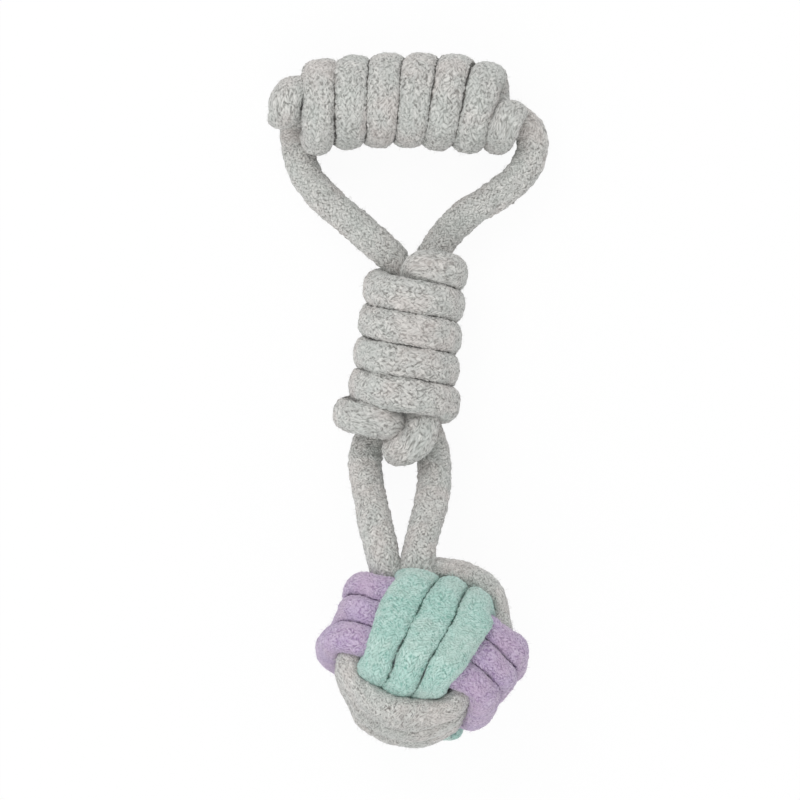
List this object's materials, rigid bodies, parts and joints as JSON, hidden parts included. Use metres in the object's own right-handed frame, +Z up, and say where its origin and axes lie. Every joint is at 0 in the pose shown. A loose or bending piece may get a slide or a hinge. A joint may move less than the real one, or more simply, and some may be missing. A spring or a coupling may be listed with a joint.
{
  "type": "rope dog toy",
  "caption": "Braided cotton rope tug toy: a wound rope grip on a loop, a wrapped barrel knot below it, and a woven rope ball hanging on a short loop.",
  "frame": {"origin": "on the ground, under the middle of the lying toy's outline", "axes": "+Y from the ball towards the grip, +Z up out of the ground that the toy lies on, +X along the grip"},
  "size_m": [0.111, 0.2778, 0.082],
  "materials": {
    "grey_rope": "heather grey braided cotton rope, matt, fuzzy",
    "mint_rope": "mint green braided cotton rope, matt, fuzzy",
    "lilac_rope": "lilac braided cotton rope, matt, fuzzy",
    "filling": "undyed cotton filling, matt"
  },
  "bodies": {
    "knot": {"knot_coil": "grey_rope", "knot_core_left": "grey_rope", "knot_core_right": "grey_rope", "knot_bight": "grey_rope", "upper_leg_left": "grey_rope", "upper_leg_right": "grey_rope", "lower_leg_left": "grey_rope", "lower_leg_right": "grey_rope"},
    "handle": {"handle_winding": "grey_rope", "handle_core": "grey_rope"},
    "ball": {"ball_band_mint": "mint_rope", "ball_band_purple": "lilac_rope", "ball_band_grey": "grey_rope", "ball_core": "filling"}
  },
  "joints": [
    {"name": "handle_swing", "type": "hinge", "parent": "knot", "child": "handle", "pos_m": [0, 0.079, 0.02], "axis": [1, 0, 0], "range_deg": [-80, 80], "deforming": ["upper_leg_left", "upper_leg_right"]},
    {"name": "ball_swing", "type": "hinge", "parent": "knot", "child": "ball", "pos_m": [0, -0.0415, 0.035], "axis": [1, 0, 0], "range_deg": [-70, 70], "deforming": ["lower_leg_left", "lower_leg_right"]}
  ]
}
